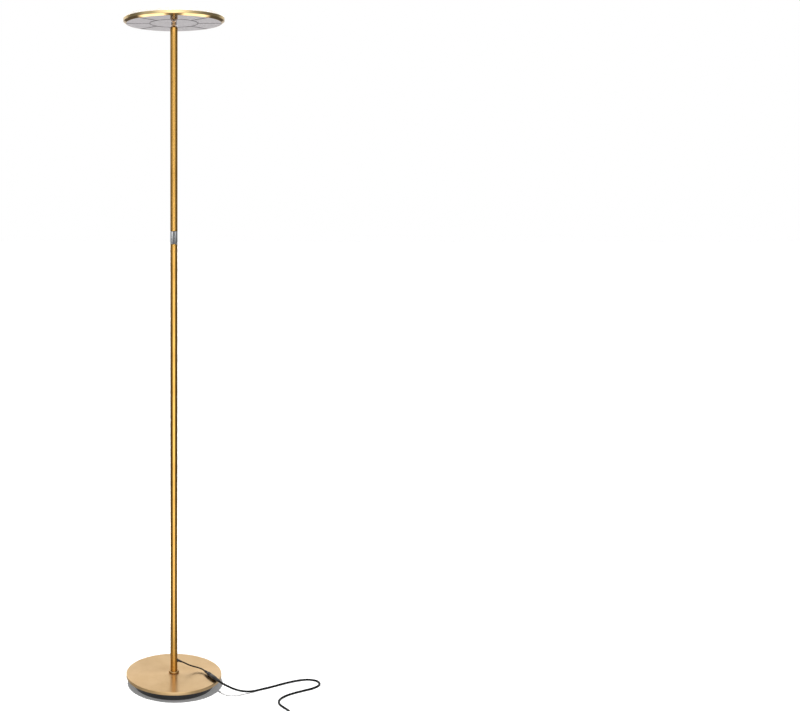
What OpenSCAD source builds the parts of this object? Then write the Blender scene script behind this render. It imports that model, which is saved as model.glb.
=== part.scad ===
// Torchiere floor lamp: a flat tilting head on a two-piece pole with a touch ring, over a weighted
// round base, with a low-voltage lead, an in-line connector and a wall adapter.
// Millimetres. The origin is the centre of the foot ring's underside, +Z is up and -Y is the front.

/* [Overall] */
// Height of the lamp, floor to the top of the lens
lamp_h = 1600; // [1330:1:1920]
// Diameter of the head's rim
head_d = 232; // [193:1:280]
// Diameter of the brass base cover
base_d = 235; // [195:1:282]

/* [Head] */
// Height of the lens's clear edge above the rim
lens_edge = 5.5; // [4:0.1:7]
// How far the lens is inset from the rim all round
lens_inset = 1.2; // [0.5:0.1:2]
// Corner radius of the lens's edge
lens_round = 0.7; // [0.3:0.1:1.5]
// Height of the head pan's satin rim
rim_h = 6.5; // [6:0.1:9]
// Sheet thickness of the head pan
pan_wall = 1; // [0.8:0.1:1.5]
// Width of the lip that the lens rests on
lip_w = 4.5; // [3.5:0.1:6]
// Height of the polished edge under the rim
bevel_h = 4.2; // [3.8:0.1:6]
// How far the polished edge runs inwards
bevel_in = 6; // [4:0.1:9]
// Thickness of the back plate
back_t = 1.4; // [1:0.1:1.8]
// Radius of the ring line moulded in the back plate
back_ring_r = 55; // [40:0.1:75]
// Width of the lines moulded in the back plate
line_w = 1.1; // [0.6:0.1:2]
// Depth of the lines moulded in the back plate
line_deep = 0.4; // [0.2:0.1:0.8]
// Number of radial lines in the back plate
line_count = 8; // [4:1:12]
// Thickness of the diffusion sheet
sheet_t = 0.6; // [0.3:0.1:0.7]
// Thickness of the heat spreader
spreader_t = 1.2; // [1:0.1:1.5]
// Radius of the light-emitting board
board_r = 48.5; // [46.5:0.5:60]
// Radius of the hole in the middle of the board
board_hole_r = 9; // [8.5:0.1:12]
// Thickness of the light-emitting board
board_t = 1.2; // [0.8:0.1:1.4]
// Radius of the board screws' circle
board_screw_circle = 37; // [36.5:0.1:37.5]
// Thickness of the reflector sheet
reflector_t = 0.4; // [0.2:0.1:0.8]
// Distance of the lens screws from the rim
lens_screw_in = 14; // [12:0.5:20]
// Radius of the lens's bosses
boss_r = 2.5; // [2:0.1:3]
// Radius of the mount plate
mount_r = 32; // [26:0.5:45]
// Thickness of the mount plate
mount_t = 2.4; // [2:0.1:2.5]
// Radius of the mount screws' circle
mount_screw_circle = 22; // [16:0.5:26]

/* [Tilt joint] */
// Gap from the back plate down to the tilt axis
face_gap = 4.3; // [4:0.1:8]
// Radius of the rounded knuckles about the tilt axis
knuckle_r = 3.5; // [3:0.1:3.7]
// Half width of the tongue
tongue_half = 3.2; // [2.8:0.1:4]
// Gap from the tongue to each cheek of the fork
cheek_gap = 0.5; // [0.4:0.1:0.8]
// Half width of the whole fork
fork_half = 6; // [5.8:0.1:7]
// Radius of the two pivot screws
pivot_r = 1.5; // [1.2:0.1:1.8]
// Running clearance of the pivot screws in the tongue
pivot_run = 0.05; // [0.02:0.01:0.09]
// Radius of the tongue's threaded stud
stud_r = 4; // [3:0.1:4.5]

/* [Pole] */
// Outside diameter of the pole's tubes
pole_d = 17.3; // [16:0.1:21]
// Wall of the pole's tubes
tube_wall = 1; // [0.8:0.1:1.3]
// Length of the lower tube, base cover to touch ring
lower_tube_len = 1052.5; // [875:0.5:1270]
// Length of the touch ring
ring_len = 29; // [24:0.5:40]
// How far the touch ring stands out from the tubes
ring_proud = 0.2; // [0:0.1:1]
// Wall of the touch ring
ring_wall = 1; // [0.6:0.1:1.2]
// Thickness of each insulating washer beside the touch ring
washer_t = 1; // [0.6:0.1:2]
// Radius of the threaded rods in the pole
rod_r = 5; // [4:0.1:5.5]
// Radius of the wire channel in the pole's joint
nipple_bore_r = 3; // [2.8:0.1:3.4]
// Length of the threaded bushes in the tubes
bush_len = 20; // [14:0.5:24]
// Height of the domed cap above the tube
cap_h = 4; // [3.4:0.1:8]
// Radius of the cap's rounded edge
cap_round = 3; // [1:0.1:3.2]
// Depth of the cap's spigot in the tube
cap_deep = 14; // [10:0.5:20]
// Radius of the bead at the pole's foot
collar_r = 13; // [11.5:0.1:16]
// Height of the bead at the pole's foot
collar_h = 5.5; // [4:0.1:9]

/* [Base] */
// Height of the base cover's top above the floor
base_h = 28; // [24:0.5:36]
// Sheet thickness of the base cover
cover_t = 1; // [0.8:0.1:1.5]
// Height of the base cover's rim
cover_lip = 7.5; // [6:0.1:9]
// Corner radius of the base cover
cover_round = 1.6; // [1:0.1:2.5]
// How far the cover overhangs the black shell
shell_in = 13.5; // [10:0.5:18]
// How far the shell tapers in towards the floor
shell_taper = 4; // [2:0.5:8]
// Wall of the shell
shell_wall = 1.8; // [1.4:0.1:2.4]
// Height of the shell's ribs
rib_h = 5.5; // [4:0.1:7]
// Number of ribs in the shell
rib_count = 12; // [6:3:18]
// Gap from the weight to the shell's wall
weight_gap = 8; // [3:0.5:14]
// Thickness of the foam foot ring
foot_t = 1.5; // [1:0.1:2.5]
// Width of the foam foot ring
foot_w = 11; // [8:0.5:16]
// Depth of the recess for the rod's nut
nut_deep = 6; // [5:0.1:8]

/* [Wiring] */
// Diameter of the thin wire in the head and the upper pole
wire_d = 2.2; // [1.6:0.1:2.4]
// Diameter of the thin lead from the pole
lamp_lead_d = 3.5; // [3:0.1:4]
// Diameter of the supply lead
supply_lead_d = 5; // [4.5:0.1:5.5]
// Height of the grommet above the floor
grommet_z = 59; // [56:0.5:90]
// Diameter of the in-line connector
connector_d = 9.2; // [8:0.1:9.6]
// Length of the connector's half on the thin lead
plug_len = 27; // [24:0.5:30]
// Size of the wall adapter: length, width, height
adapter_size = [58, 44, 28];

/* [Hidden] */
$fn = 96;

// Clearances: a seat that doesn't move, a screw's hole, and the cut that runs past a face
fit = 0.05;
screw_fit = 0.1;
past = 0.5;

// Radii
head_r = head_d / 2;
base_r = base_d / 2;
pole_r = pole_d / 2;
tube_bore_r = pole_r - tube_wall;
lens_r = head_r - lens_inset;
lip_r = head_r - lip_w;
sheet_r = lip_r + lens_inset;
back_r = head_r - bevel_in - 1;
ledge_r = back_r - 3;
back_hole_r = fork_half + 0.8;
lens_screw_circle = head_r - lens_screw_in;
spreader_r = lens_screw_circle - boss_r - 3.5;
shell_top_r = base_r - shell_in;
shell_foot_r = shell_top_r - shell_taper;
weight_r = shell_foot_r - shell_wall - weight_gap;
shell_screw_circle = weight_r / 2;
fork_r = fork_half;
wire_r = wire_d / 2;
wire_bore_r = wire_r + 0.15;
lamp_lead_r = lamp_lead_d / 2;
lead_hole_r = lamp_lead_r + 1.2;
supply_lead_r = supply_lead_d / 2;
connector_r = connector_d / 2;

// Heights in the head, from the top down
rim_top = lamp_h - lens_edge;
pan_z = rim_top - rim_h;
face_z = pan_z - bevel_h;
axis_z = face_z - face_gap;
cap_top = axis_z - knuckle_r;
tube_top = cap_top - cap_h;
spreader_z = pan_z + pan_wall;
board_z = spreader_z + spreader_t;
chip_z = board_z + board_t;
mount_z = pan_z - mount_t;

// Heights in the pole, from the base up
lower_top = base_h + lower_tube_len;
ring_z = lower_top + washer_t;
ring_top = ring_z + ring_len;
upper_z = ring_top + washer_t;
cross_z = ring_z + ring_len / 4;

// Heights in the base, from the floor up
shell_floor = 2;
rib_z = foot_t + shell_floor;
weight_z = rib_z + rib_h;
shell_top = base_h - cover_lip;
seat_z = weight_z + nut_deep;

// Screws: shank radius, head radius, head height, then depth in the lens's boss or the weight
m3 = [1.5, 2.6, 1.2];
lens_screw = [1.2, 2.4, 1.6, 3];
board_screw = [1, 1.9, 0.8];
shell_screw = [2, 3.6, 1.8, 8];
screw_end_gap = 0.5;
pivot_deep = 1.5;

// Nuts: corner radius and height; the rod's washer: radius and thickness
rod_nut_size = [9.8, 5];
stud_nut_size = [7.4, 2];
fork_nut_size = [6.6, 4.5];
fork_stud_r = 4;
rod_washer_size = [12.8, 1.5];
nut_room_r = rod_washer_size[0] + 2;

// Radius of the touch wire's cross hole and of the head wire's two cores
cross_hole_r = 0.8;
core_r = 0.5;

// The emitters: ring radius and count of each ring, and an emitter's size
chip_rings = [[22, 8], [32, 12], [42, 16]];
chip_size = [3.5, 2.8, 0.7];

// The dimmer board hangs in the lower tube under the joint
dimmer_size = [11, 1.6, 60];
dimmer_top = lower_top - bush_len - 14;
dimmer_z = dimmer_top - dimmer_size[2];

// The grommet's nose droops with the lead
nose_len = 10;
nose_drop = 22;
nose_root = [pole_r + 1, 0, grommet_z];

// The thin lead from the grommet's nose to the in-line connector
lamp_route = [
    [19, 0, 55.3], [23.5, 0.8, 53.2], [28.5, 3.2, 49.8], [35, 6.8, 45], [42, 10, 41],
    [50, 12, 37.6], [57.5, 12, 35.6], [64, 9.5, 34.4], [69.5, 5.5, 33.8], [73.6, 0.4, 33.3],
    [77, -6, 33.2]
];
connector_end = [109, -64, 33];
connector_len = norm(connector_end - lamp_route[len(lamp_route) - 1]);

// The supply lead from the connector over the floor to the coil
supply_route = [
    [109, -64, 33], [113.5, -70.5, 32.3], [120, -75.5, 30.4], [130, -79, 26.6], [141, -79.5, 21.6],
    [153, -76, 15.8], [165, -69, 10.2], [178, -61.5, 5.8], [192, -53.5, 3.2], [207, -45, 2.5],
    [224, -36, 2.5], [243, -25.5, 2.5], [262, -14, 2.5], [282, -2.5, 2.5], [300, 6, 2.5],
    [318, 12.5, 2.5], [334, 14.5, 2.5], [348, 10.5, 2.5], [357, 2, 2.5], [359, -10, 2.5],
    [352, -24.5, 2.5], [339, -36, 2.5], [322, -46, 2.5], [304, -55.5, 2.5], [287, -65.5, 2.5],
    [271, -77, 2.5], [258, -90.5, 2.5], [250, -106, 2.5], [249, -120.5, 2.5], [253, -133, 2.5],
    [260, -145, 2.5], [267, -157, 2.5], [271.5, -171.5, 2.6], [272.5, -188, 2.9],
    [271.2, -206, 3.3], [270, -222, 3.5]
];
// The stored coil: centre, radii of its outer and inner faces, and its height above the floor
coil_at = [237.5, -222, 0];
coil_turns_r = [22.5, 32.5];
coil_lift = 1;
coil_h = 2 * supply_lead_d;
coil_in = coil_turns_r[0] - supply_lead_r;
coil_out = coil_turns_r[1] + supply_lead_r;
// The short stretch from the coil to the adapter's strain relief
end_route = [[237.5, -254.5, 8.5], [232, -254.5, 8.8], [225, -254.5, 10.4], [219, -254.5, 12]];
relief_len = 22;
relief_at = [219, -254.5, 12];
adapter_at = [197, -254.5, 0];
blade_size = [17, 1.5, 6.3];
blade_gap = 12.7;

// --- Shared shapes ---

// Points of an arc of radius r about c, from angle a to angle b, in steps of 15 degrees or less
function arc(c, r, a, b) =
    let (steps = ceil(abs(b - a) / 15))
    [for (i = [0 : steps]) let (t = a + (b - a) * i / steps) c + r * [cos(t), sin(t)]];

// A point between p1 and p2 on the smooth curve through p0 to p3
function between(p0, p1, p2, p3, t) =
    0.5 * (2 * p1 + t * (p2 - p0) + t * t * (2 * p0 - 5 * p1 + 4 * p2 - p3)
        + t * t * t * (3 * p1 - p0 - 3 * p2 + p3));

// The route with extra points between its own, on the smooth curve through them
function smooth_route(route, parts) =
    let (last = len(route) - 1)
    [for (i = [0 : last - 1], k = [0 : parts - 1])
        between(route[max(i - 1, 0)], route[i], route[i + 1], route[min(i + 2, last)], k / parts),
        route[last]];

// A round tube swept along a route that never runs straight up
module swept(route, r, sides) {
    last = len(route) - 1;
    rings = [for (i = [0 : last])
        let (along = route[min(i + 1, last)] - route[max(i - 1, 0)],
             across = cross(along, [0, 0, 1]) / norm(cross(along, [0, 0, 1])),
             over = cross(across, along) / norm(along))
        for (k = [0 : sides - 1])
            let (a = 360 * k / sides)
            route[i] + r * (cos(a) * across + sin(a) * over)];
    walls = [for (i = [0 : last - 1], k = [0 : sides - 1])
        let (n = (k + 1) % sides)
        [i * sides + k, i * sides + n, (i + 1) * sides + n, (i + 1) * sides + k]];
    start = [for (k = [0 : sides - 1]) sides - 1 - k];
    end = [for (k = [0 : sides - 1]) last * sides + k];
    polyhedron(points = rings, faces = concat([start], walls, [end]));
}

// A plain tube: a ring of given radii and height, standing at z
module ring(z, h, r_out, r_in) {
    translate([0, 0, z])
        difference() {
            cylinder(r = r_out, h = h);
            translate([0, 0, -past]) cylinder(r = r_in, h = h + 2 * past);
        }
}

// A hexagonal nut standing at z: size is its corner radius and its height
module nut(z, size, bore_r) {
    translate([0, 0, z])
        difference() {
            cylinder(r = size[0], h = size[1], $fn = 6);
            translate([0, 0, -past]) cylinder(r = bore_r, h = size[1] + 2 * past);
        }
}

// Copies of a child spread evenly on a circle, the first at angle a
module around(count, r, a = 0) {
    for (i = [0 : count - 1]) rotate(a + 360 * i / count) translate([r, 0, 0]) children();
}

// --- Head ---

module lens() {
    color([0.86, 0.82, 0.80, 0.6])
        difference() {
            union() {
                rotate_extrude()
                    polygon(concat(
                        [[0, rim_top], [lens_r - 0.3, rim_top], [lens_r, rim_top + 0.3]],
                        arc([lens_r - lens_round, lamp_h - lens_round], lens_round, 0, 90),
                        [[0, lamp_h]]));
                around(3, lens_screw_circle, 90)
                    translate([0, 0, spreader_z]) cylinder(r = boss_r, h = rim_top - spreader_z + 1);
            }
            difference() {
                translate([0, 0, rim_top - past]) cylinder(r = sheet_r + fit, h = past + sheet_t + 0.2);
                around(3, lens_screw_circle, 90)
                    translate([0, 0, spreader_z]) cylinder(r = boss_r, h = rim_h);
            }
            around(3, lens_screw_circle, 90)
                translate([0, 0, spreader_z - past])
                    cylinder(r = lens_screw[0] + fit, h = past + lens_screw[3] + screw_end_gap);
        }
}

module diffusion_sheet() {
    color("white")
        difference() {
            translate([0, 0, rim_top]) cylinder(r = sheet_r, h = sheet_t);
            around(3, lens_screw_circle, 90)
                translate([0, 0, rim_top - past]) cylinder(r = boss_r + screw_fit, h = sheet_t + 2 * past);
        }
}

module head_pan() {
    color([0.78, 0.62, 0.33])
        difference() {
            rotate_extrude()
                polygon(concat(
                    [[stud_r + screw_fit, pan_z], [head_r - 0.4, pan_z], [head_r, pan_z + 0.4]],
                    arc([head_r - 0.8, rim_top - 0.8], 0.8, 0, 90),
                    [[lip_r, rim_top], [lip_r, rim_top - pan_wall],
                     [head_r - pan_wall, rim_top - pan_wall], [head_r - pan_wall, spreader_z],
                     [stud_r + screw_fit, spreader_z]]));
            around(3, lens_screw_circle, 90)
                translate([0, 0, pan_z - past]) cylinder(r = lens_screw[0] + fit, h = pan_wall + 2 * past);
            around(4, mount_screw_circle, 45)
                translate([0, 0, pan_z - past]) cylinder(r = m3[0] + fit, h = pan_wall + 2 * past);
        }
}

module trim_ring() {
    color([0.72, 0.52, 0.25])
        rotate_extrude()
            polygon([[ledge_r, pan_z], [head_r - 0.1, pan_z], [head_r - 0.1, pan_z - 0.4],
                     [back_r + 1, face_z], [back_r + fit, face_z], [back_r + fit, face_z + back_t + fit],
                     [ledge_r, face_z + back_t + fit]]);
}

module back_plate() {
    line_in = back_ring_r + line_w / 2;
    color([0.66, 0.62, 0.63])
        difference() {
            ring(face_z, back_t, back_r, back_hole_r);
            difference() {
                translate([0, 0, face_z - past]) cylinder(r = line_in, h = past + line_deep);
                translate([0, 0, face_z - 2 * past]) cylinder(r = line_in - line_w, h = 4 * past);
            }
            for (i = [0 : line_count - 1])
                rotate(360 * i / line_count)
                    translate([line_in - line_w / 2, -line_w / 2, face_z - past])
                        cube([back_r - line_in, line_w, past + line_deep]);
        }
}

module heat_spreader() {
    color("silver")
        difference() {
            ring(spreader_z, spreader_t, spreader_r, stud_r + screw_fit);
            around(4, mount_screw_circle, 45)
                translate([0, 0, spreader_z - past]) cylinder(r = m3[0] + fit, h = spreader_t + 2 * past);
            around(4, board_screw_circle, 45)
                translate([0, 0, spreader_z - past])
                    cylinder(r = board_screw[0] + fit, h = spreader_t + 2 * past);
        }
}

module led_board() {
    color("white")
        difference() {
            ring(board_z, board_t, board_r, board_hole_r);
            around(4, board_screw_circle, 45)
                translate([0, 0, board_z - past])
                    cylinder(r = board_screw[0] + fit, h = board_t + 2 * past);
            around(4, mount_screw_circle, 45)
                translate([0, 0, board_z - past]) cylinder(r = m3[0] + screw_fit, h = past + 0.4);
        }
}

module led_chips() {
    color([1, 0.9, 0.55])
        for (row = chip_rings)
            around(row[1], row[0])
                translate([-chip_size[0] / 2, -chip_size[1] / 2, chip_z]) cube(chip_size);
}

module reflector_sheet() {
    color("white") ring(board_z, reflector_t, spreader_r - 0.5, board_r + 0.5);
}

module board_screws() {
    color("silver")
        around(4, board_screw_circle, 45) {
            translate([0, 0, spreader_z]) cylinder(r = board_screw[0], h = spreader_t + board_t);
            translate([0, 0, chip_z]) cylinder(r = board_screw[1], h = board_screw[2]);
        }
}

module lens_screws() {
    color("silver")
        around(3, lens_screw_circle, 90) {
            translate([0, 0, pan_z - lens_screw[2]]) cylinder(r = lens_screw[1], h = lens_screw[2]);
            translate([0, 0, pan_z]) cylinder(r = lens_screw[0], h = pan_wall + lens_screw[3]);
        }
}

module mount_plate() {
    color("gray")
        difference() {
            ring(mount_z, mount_t, mount_r, stud_r + screw_fit);
            around(4, mount_screw_circle, 45) {
                translate([0, 0, mount_z - past]) cylinder(r = m3[0] + fit, h = mount_t + 2 * past);
                translate([0, 0, mount_z - past]) cylinder(r = m3[1] + screw_fit, h = past + m3[2] + fit);
            }
        }
}

module mount_screws() {
    color("silver")
        around(4, mount_screw_circle, 45) {
            translate([0, 0, mount_z + fit]) cylinder(r = m3[1], h = m3[2]);
            translate([0, 0, mount_z + m3[2]]) cylinder(r = m3[0], h = board_z - mount_z - m3[2]);
        }
}

module head_wire() {
    stud_top = board_z + stud_nut_size[1];
    wire_low = axis_z - knuckle_r + 0.3;
    core_end = board_hole_r + 4;
    color("white") {
        translate([0, 0, wire_low]) cylinder(r = wire_r, h = stud_top + 0.6 - wire_low);
        for (side = [-1, 1]) {
            translate([0, side * (core_r + fit), stud_top + core_r]) rotate([0, 90, 0])
                cylinder(r = core_r, h = core_end + core_r, $fn = 24);
            translate([core_end, side * (core_r + fit), chip_z])
                cylinder(r = core_r, h = stud_top + core_r - chip_z, $fn = 24);
        }
    }
}

// --- Tilt joint ---

module hinge_tongue() {
    seat_r = back_hole_r - 0.2;
    collar_z = axis_z + face_gap - 0.3;
    stud_top = board_z + stud_nut_size[1];
    color([0.25, 0.24, 0.23])
        difference() {
            union() {
                translate([0, 0, collar_z]) cylinder(r = seat_r, h = mount_z - collar_z);
                translate([0, 0, mount_z - 1]) cylinder(r = stud_r, h = stud_top - mount_z + 1);
                translate([-tongue_half, -knuckle_r, axis_z])
                    cube([2 * tongue_half, 2 * knuckle_r, collar_z - axis_z + past]);
                translate([-tongue_half, 0, axis_z]) rotate([0, 90, 0])
                    cylinder(r = knuckle_r, h = 2 * tongue_half);
            }
            translate([0, 0, axis_z - knuckle_r - past])
                cylinder(r = wire_bore_r, h = lamp_h - axis_z + knuckle_r);
            for (side = [-1, 1])
                translate([side * tongue_half, 0, axis_z]) rotate([0, 90, 0])
                    cylinder(r = pivot_r + pivot_run, h = 2 * (pivot_deep + screw_fit), center = true);
        }
}

module tongue_nut() {
    color("silver") nut(board_z, stud_nut_size, stud_r + fit);
}

module hinge_fork() {
    slot_half = tongue_half + cheek_gap;
    slot_z = axis_z - knuckle_r - 0.4;
    stem_z = tube_top - cap_deep;
    color([0.55, 0.54, 0.52])
        difference() {
            union() {
                translate([0, 0, stem_z]) cylinder(r = fork_r, h = cap_top - stem_z);
                translate([0, 0, stem_z - fork_nut_size[1] - 2])
                    cylinder(r = fork_stud_r, h = fork_nut_size[1] + 2 + past);
                translate([-fork_half, 0, axis_z]) rotate([0, 90, 0])
                    cylinder(r = knuckle_r, h = 2 * fork_half);
                translate([-fork_half, -knuckle_r, cap_top - 1])
                    cube([2 * fork_half, 2 * knuckle_r, knuckle_r + 1]);
            }
            translate([-slot_half, -fork_r - past, slot_z])
                cube([2 * slot_half, 2 * (fork_r + past), 3 * knuckle_r]);
            translate([0, 0, stem_z - 20]) cylinder(r = wire_bore_r, h = 20 + cap_top - stem_z);
            translate([-fork_half - past, 0, axis_z]) rotate([0, 90, 0])
                cylinder(r = pivot_r + 0.02, h = 2 * (fork_half + past));
            for (side = [-1, 1])
                translate([side * fork_half, 0, axis_z]) rotate([0, 90, 0])
                    cylinder(r = pivot_r + 0.9, h = 1.8, center = true);
            difference() {
                translate([0, 0, cap_top - 1]) cylinder(r = 3 * fork_r, h = 4 * knuckle_r);
                translate([0, 0, cap_top - 2]) cylinder(r = fork_r + fit, h = 6 * knuckle_r);
            }
        }
}

module fork_nut() {
    color("silver") nut(tube_top - cap_deep - fork_nut_size[1], fork_nut_size, fork_stud_r + fit);
}

module pivot_screws() {
    color("silver")
        for (side = [0, 180])
            rotate(side)
                translate([0, 0, axis_z]) rotate([0, 90, 0]) {
                    translate([0, 0, tongue_half - pivot_deep])
                        cylinder(r = pivot_r, h = fork_half - tongue_half + pivot_deep - 0.5);
                    translate([0, 0, fork_half - 0.88]) cylinder(r = pivot_r + 0.85, h = 0.8);
                }
}

module friction_washers() {
    color("gainsboro")
        for (side = [0, 180])
            rotate(side)
                translate([tongue_half + 0.05, 0, axis_z]) rotate([0, 90, 0])
                    ring(0, cheek_gap - 0.05, knuckle_r - 0.3, pivot_r + fit);
}

// --- Pole ---

module pole_cap() {
    color([0.78, 0.62, 0.33])
        rotate_extrude()
            polygon(concat(
                [[fork_r + fit, tube_top - cap_deep], [tube_bore_r - fit, tube_top - cap_deep],
                 [tube_bore_r - fit, tube_top], [pole_r, tube_top]],
                arc([pole_r - cap_round, cap_top - cap_round], cap_round, 0, 90 - 15),
                [[fork_r + fit, cap_top]]));
}

module upper_tube() {
    color([0.78, 0.62, 0.33]) ring(upper_z, tube_top - upper_z, pole_r, tube_bore_r);
}

module upper_bush() {
    color("silver") ring(upper_z, bush_len, tube_bore_r - fit, rod_r + fit);
}

module upper_washer() {
    color("black") ring(ring_top, washer_t, pole_r - 0.1, rod_r + fit);
}

module touch_ring() {
    out = pole_r + ring_proud;
    in = out - ring_wall;
    mid = ring_z + ring_len / 2;
    seam = 0.3;
    color([0.82, 0.83, 0.85])
        rotate_extrude()
            polygon([[in, ring_z], [out - 0.4, ring_z], [out, ring_z + 0.4], [out, mid - seam],
                     [out - seam, mid], [out, mid + seam], [out, ring_top - 0.4],
                     [out - 0.4, ring_top], [in, ring_top]]);
}

module ring_core() {
    color("black")
        difference() {
            ring(ring_z, ring_len, pole_r + ring_proud - ring_wall - fit, rod_r + fit);
            translate([0, 0, cross_z]) rotate([0, -90, 0]) cylinder(r = cross_hole_r, h = pole_r);
        }
}

module joint_nipple() {
    color("gray")
        difference() {
            ring(lower_top - bush_len + 2, upper_z - lower_top + 2 * bush_len - 4, rod_r, nipple_bore_r);
            translate([0, 0, cross_z]) rotate([0, -90, 0]) cylinder(r = cross_hole_r, h = pole_r);
        }
}

module touch_wire() {
    x = wire_r + 0.9;
    color("red") {
        translate([-x, 0, dimmer_top]) cylinder(r = core_r, h = cross_z + core_r - dimmer_top);
        translate([-x, 0, cross_z]) rotate([0, -90, 0])
            cylinder(r = core_r - 0.1, h = pole_r + ring_proud - ring_wall - x);
    }
}

module lower_washer() {
    color("black") ring(lower_top, washer_t, pole_r - 0.1, rod_r + fit);
}

module lower_bush() {
    color("silver") ring(lower_top - bush_len, bush_len, tube_bore_r - fit, rod_r + fit);
}

module lower_tube() {
    color([0.78, 0.62, 0.33])
        difference() {
            ring(base_h, lower_tube_len, pole_r, tube_bore_r);
            translate([0, 0, grommet_z]) rotate([0, 90, 0]) cylinder(r = lead_hole_r, h = pole_r + past);
        }
}

module dimmer_board() {
    color("darkgreen") {
        translate([-dimmer_size[0] / 2, -dimmer_size[1] / 2, dimmer_z]) cube(dimmer_size);
        translate([-4, dimmer_size[1] / 2 - 0.1, dimmer_z + 8]) cube([8, 2.6, 9]);
        translate([-4.5, dimmer_size[1] / 2 - 0.1, dimmer_z + 24]) cube([9, 1.6, 6]);
        translate([0, -dimmer_size[1] / 2 - 1.9, dimmer_z + 12]) cylinder(r = 2, h = 11);
        translate([-3, -dimmer_size[1] / 2 - 1.6, dimmer_z + 34]) cube([6, 1.7, 10]);
    }
}

module pole_wire() {
    top = cap_top - 0.6;
    color("white") translate([0, 0, dimmer_top]) cylinder(r = wire_r, h = top - dimmer_top);
}

module inner_lead() {
    color("black") {
        translate([0, 0, grommet_z]) cylinder(r = lamp_lead_r, h = dimmer_z - grommet_z);
        translate([0, 0, grommet_z]) sphere(r = lamp_lead_r);
        translate([0, 0, grommet_z]) rotate([0, 90, 0]) cylinder(r = lamp_lead_r, h = nose_root[0] - 0.1);
    }
}

module foot_bush() {
    color("silver") ring(base_h, bush_len, tube_bore_r - fit, rod_r + fit);
}

module foot_collar() {
    in = pole_r + fit;
    half = collar_h / 2;
    belly = collar_r - half;
    color([0.80, 0.62, 0.30])
        rotate_extrude()
            polygon(concat([[in, base_h]],
                arc([belly, base_h + half], half, -75, 75),
                [[in, base_h + collar_h]]));
}

// --- Base ---

module base_cover() {
    in = base_r - cover_t;
    color([0.80, 0.66, 0.42])
        rotate_extrude()
            polygon(concat(
                [[rod_r + screw_fit, base_h - cover_t], [in, base_h - cover_t], [in, shell_top],
                 [base_r - 0.3, shell_top], [base_r, shell_top + 0.3]],
                arc([base_r - cover_round, base_h - cover_round], cover_round, 0, 90),
                [[rod_r + screw_fit, base_h]]));
}

module base_weight() {
    top = base_h - cover_t;
    color("dimgray")
        difference() {
            ring(weight_z, top - weight_z, weight_r, rod_r + screw_fit);
            translate([0, 0, weight_z - past]) cylinder(r = nut_room_r, h = nut_deep + past);
            around(3, shell_screw_circle, 30)
                translate([0, 0, weight_z - past])
                    cylinder(r = shell_screw[0] + fit, h = past + shell_screw[3] + screw_end_gap);
        }
}

module base_shell() {
    flange_r = base_r - cover_t - fit;
    hole_r = nut_room_r + 2;
    boss_wall = 3;
    color([0.07, 0.07, 0.07])
        difference() {
            union() {
                rotate_extrude()
                    polygon([[hole_r, foot_t], [shell_foot_r - 1, foot_t], [shell_foot_r, foot_t + 1],
                             [shell_top_r, shell_top], [flange_r, shell_top],
                             [flange_r, shell_top + shell_wall],
                             [shell_top_r - shell_wall, shell_top + shell_wall],
                             [shell_foot_r - shell_wall, rib_z], [hole_r, rib_z]]);
                ring(foot_t, rib_z + rib_h - foot_t, hole_r + shell_wall, hole_r);
                around(rib_count, hole_r + 1, 10)
                    translate([0, -1, foot_t])
                        cube([weight_r - hole_r - 2, 2, rib_z + rib_h - foot_t]);
                around(3, shell_screw_circle, 30)
                    translate([0, 0, foot_t])
                        cylinder(r = shell_screw[1] + boss_wall, h = rib_z + rib_h - foot_t);
            }
            around(3, shell_screw_circle, 30) {
                translate([0, 0, foot_t - past])
                    cylinder(r = shell_screw[1] + 0.3, h = past + shell_floor + fit);
                translate([0, 0, foot_t]) cylinder(r = shell_screw[0] + fit, h = rib_z + rib_h);
            }
        }
}

module shell_screws() {
    color("silver")
        around(3, shell_screw_circle, 30) {
            translate([0, 0, rib_z - shell_screw[2]]) cylinder(r = shell_screw[1], h = shell_screw[2]);
            translate([0, 0, rib_z]) cylinder(r = shell_screw[0], h = rib_h + shell_screw[3]);
        }
}

module foot_ring() {
    color([0.12, 0.12, 0.12]) ring(0, foot_t, shell_foot_r - 2, shell_foot_r - 2 - foot_w);
}

module tie_rod() {
    top = base_h + bush_len - 2;
    bottom = seat_z - rod_washer_size[1] - rod_nut_size[1] - 1;
    color("gray") translate([0, 0, bottom]) cylinder(r = rod_r, h = top - bottom);
}

module rod_washer() {
    color("silver") 
        ring(seat_z - rod_washer_size[1], rod_washer_size[1], rod_washer_size[0], rod_r + fit);
}

module rod_nut() {
    color("silver")
        nut(seat_z - rod_washer_size[1] - rod_nut_size[1], rod_nut_size, rod_r + fit);
}

// --- Leads ---

module grommet() {
    color("black")
        difference() {
            union() {
                difference() {
                    translate([0, 0, grommet_z]) rotate([0, 90, 0])
                        cylinder(r = lead_hole_r + 1.4, h = nose_root[0] + 0.4);
                    translate([0, 0, grommet_z - pole_d]) cylinder(r = pole_r + fit, h = 2 * pole_d);
                }
                translate([tube_bore_r - 0.8, 0, grommet_z]) rotate([0, 90, 0])
                    cylinder(r = lead_hole_r - fit, h = tube_wall + 1.6);
                translate(nose_root) rotate([0, 90 + nose_drop, 0])
                    cylinder(r1 = lamp_lead_r + 1.3, r2 = lamp_lead_r + 0.5, h = nose_len);
            }
            translate([0, 0, grommet_z]) rotate([0, 90, 0])
                cylinder(r = lamp_lead_r, h = nose_root[0] + 0.3);
            translate(nose_root) rotate([0, 90 + nose_drop, 0])
                translate([0, 0, -0.3]) cylinder(r = lamp_lead_r + 0.01, h = nose_len + 2);
        }
}

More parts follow.
